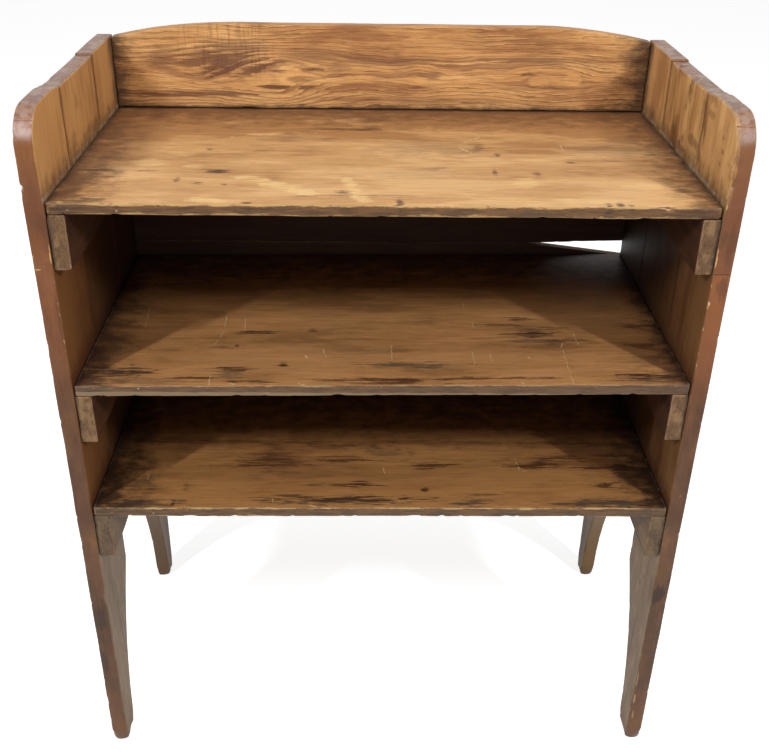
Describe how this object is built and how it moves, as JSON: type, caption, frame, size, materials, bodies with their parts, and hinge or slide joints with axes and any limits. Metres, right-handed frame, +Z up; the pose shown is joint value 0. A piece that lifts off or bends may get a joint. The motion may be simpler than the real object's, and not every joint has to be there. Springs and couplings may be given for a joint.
{
  "type": "bucket bench",
  "caption": "Open pine bucket bench: shelves on cleats between boarded ends that are cut out below into legs, with an arched board behind the top shelf and boards over the back.",
  "frame": {"origin": "on the floor, under the middle of the bench's width and of its depth", "axes": "+Z up, +Y towards the back boards, so the open front faces -Y, and +X to the right seen from the front"},
  "size_m": [0.78, 0.414, 0.9495],
  "materials": {
    "painted_board": "worn thin red-brown paint over bare pine",
    "shelf_board": "worn, stained and waxed pine",
    "cleat_wood": "old bare pine, grey on the end grain",
    "arched_board": "figured pine, waxed",
    "back_board": "old bare pine",
    "nail_iron": "dark, lightly rusted iron"
  },
  "bodies": {
    "root": {"left_front_board": "painted_board", "left_middle_board": "painted_board", "left_back_board": "painted_board", "right_front_board": "painted_board", "right_middle_board": "painted_board", "right_back_board": "painted_board", "top_shelf": "shelf_board", "middle_shelf": "shelf_board", "bottom_shelf": "shelf_board", "left_top_cleat": "cleat_wood", "left_middle_cleat": "cleat_wood", "left_bottom_cleat": "cleat_wood", "right_top_cleat": "cleat_wood", "right_middle_cleat": "cleat_wood", "right_bottom_cleat": "cleat_wood", "backsplash": "arched_board", "upper_back_board": "back_board", "lower_back_board": "back_board", "shelf_nails": "nail_iron", "cleat_nails": "nail_iron", "backsplash_nails": "nail_iron", "back_nails": "nail_iron"}
  },
  "joints": []
}
